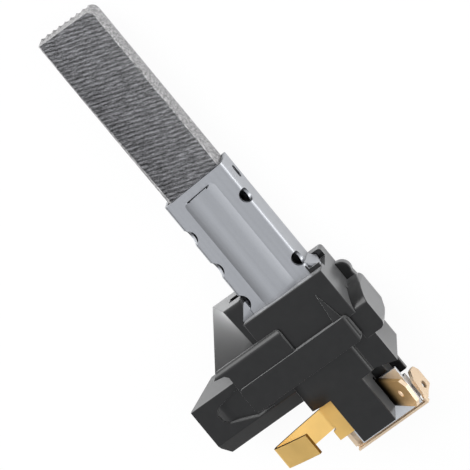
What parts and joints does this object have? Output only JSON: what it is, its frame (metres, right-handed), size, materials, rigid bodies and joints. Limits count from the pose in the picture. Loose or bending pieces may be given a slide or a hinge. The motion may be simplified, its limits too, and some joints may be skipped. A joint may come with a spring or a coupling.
{
  "type": "carbon brush",
  "caption": "Carbon brush that slides in a folded metal guide tube, held by a moulded holder with a folded hook contact and flat spade terminals.",
  "frame": {"origin": "on the holder's flat back, under the brush's centre line, level with the flange's shoulder", "axes": "+X along the brush towards the carbon's contact end, +Y towards the flange and the hook contact, +Z out of the holder's flat back towards the bar"},
  "size_m": [0.1016, 0.0419, 0.0211],
  "materials": {
    "carbon": "sawn carbon-graphite, dull with a faint sheen",
    "copper": "bright braided copper and tamped copper powder",
    "spring_steel": "drawn spring wire",
    "tube_steel": "satin plated sheet",
    "moulding": "black moulding with a satin sheen",
    "brass_strip": "satin rolled brass",
    "nickel_plate": "satin nickel plating",
    "bare_brass": "dull stamped brass with bright edges"
  },
  "bodies": {
    "holder": {"holder_body": "moulding", "brush_tube": "tube_steel", "contact_strip": "brass_strip", "terminal_plate": "nickel_plate", "spade_terminal": "bare_brass", "pressure_spring": "spring_steel", "shunt_lead": "copper"},
    "brush": {"carbon_block": "carbon", "tamping_plug": "copper"}
  },
  "joints": [
    {"name": "brush_slide", "type": "slide", "parent": "holder", "child": "brush", "axis": [1, 0, 0], "range_m": [-0.033, 0], "stiffness_N_per_m": 60, "springref_m": 0.05, "deforming": ["pressure_spring", "shunt_lead"]}
  ]
}
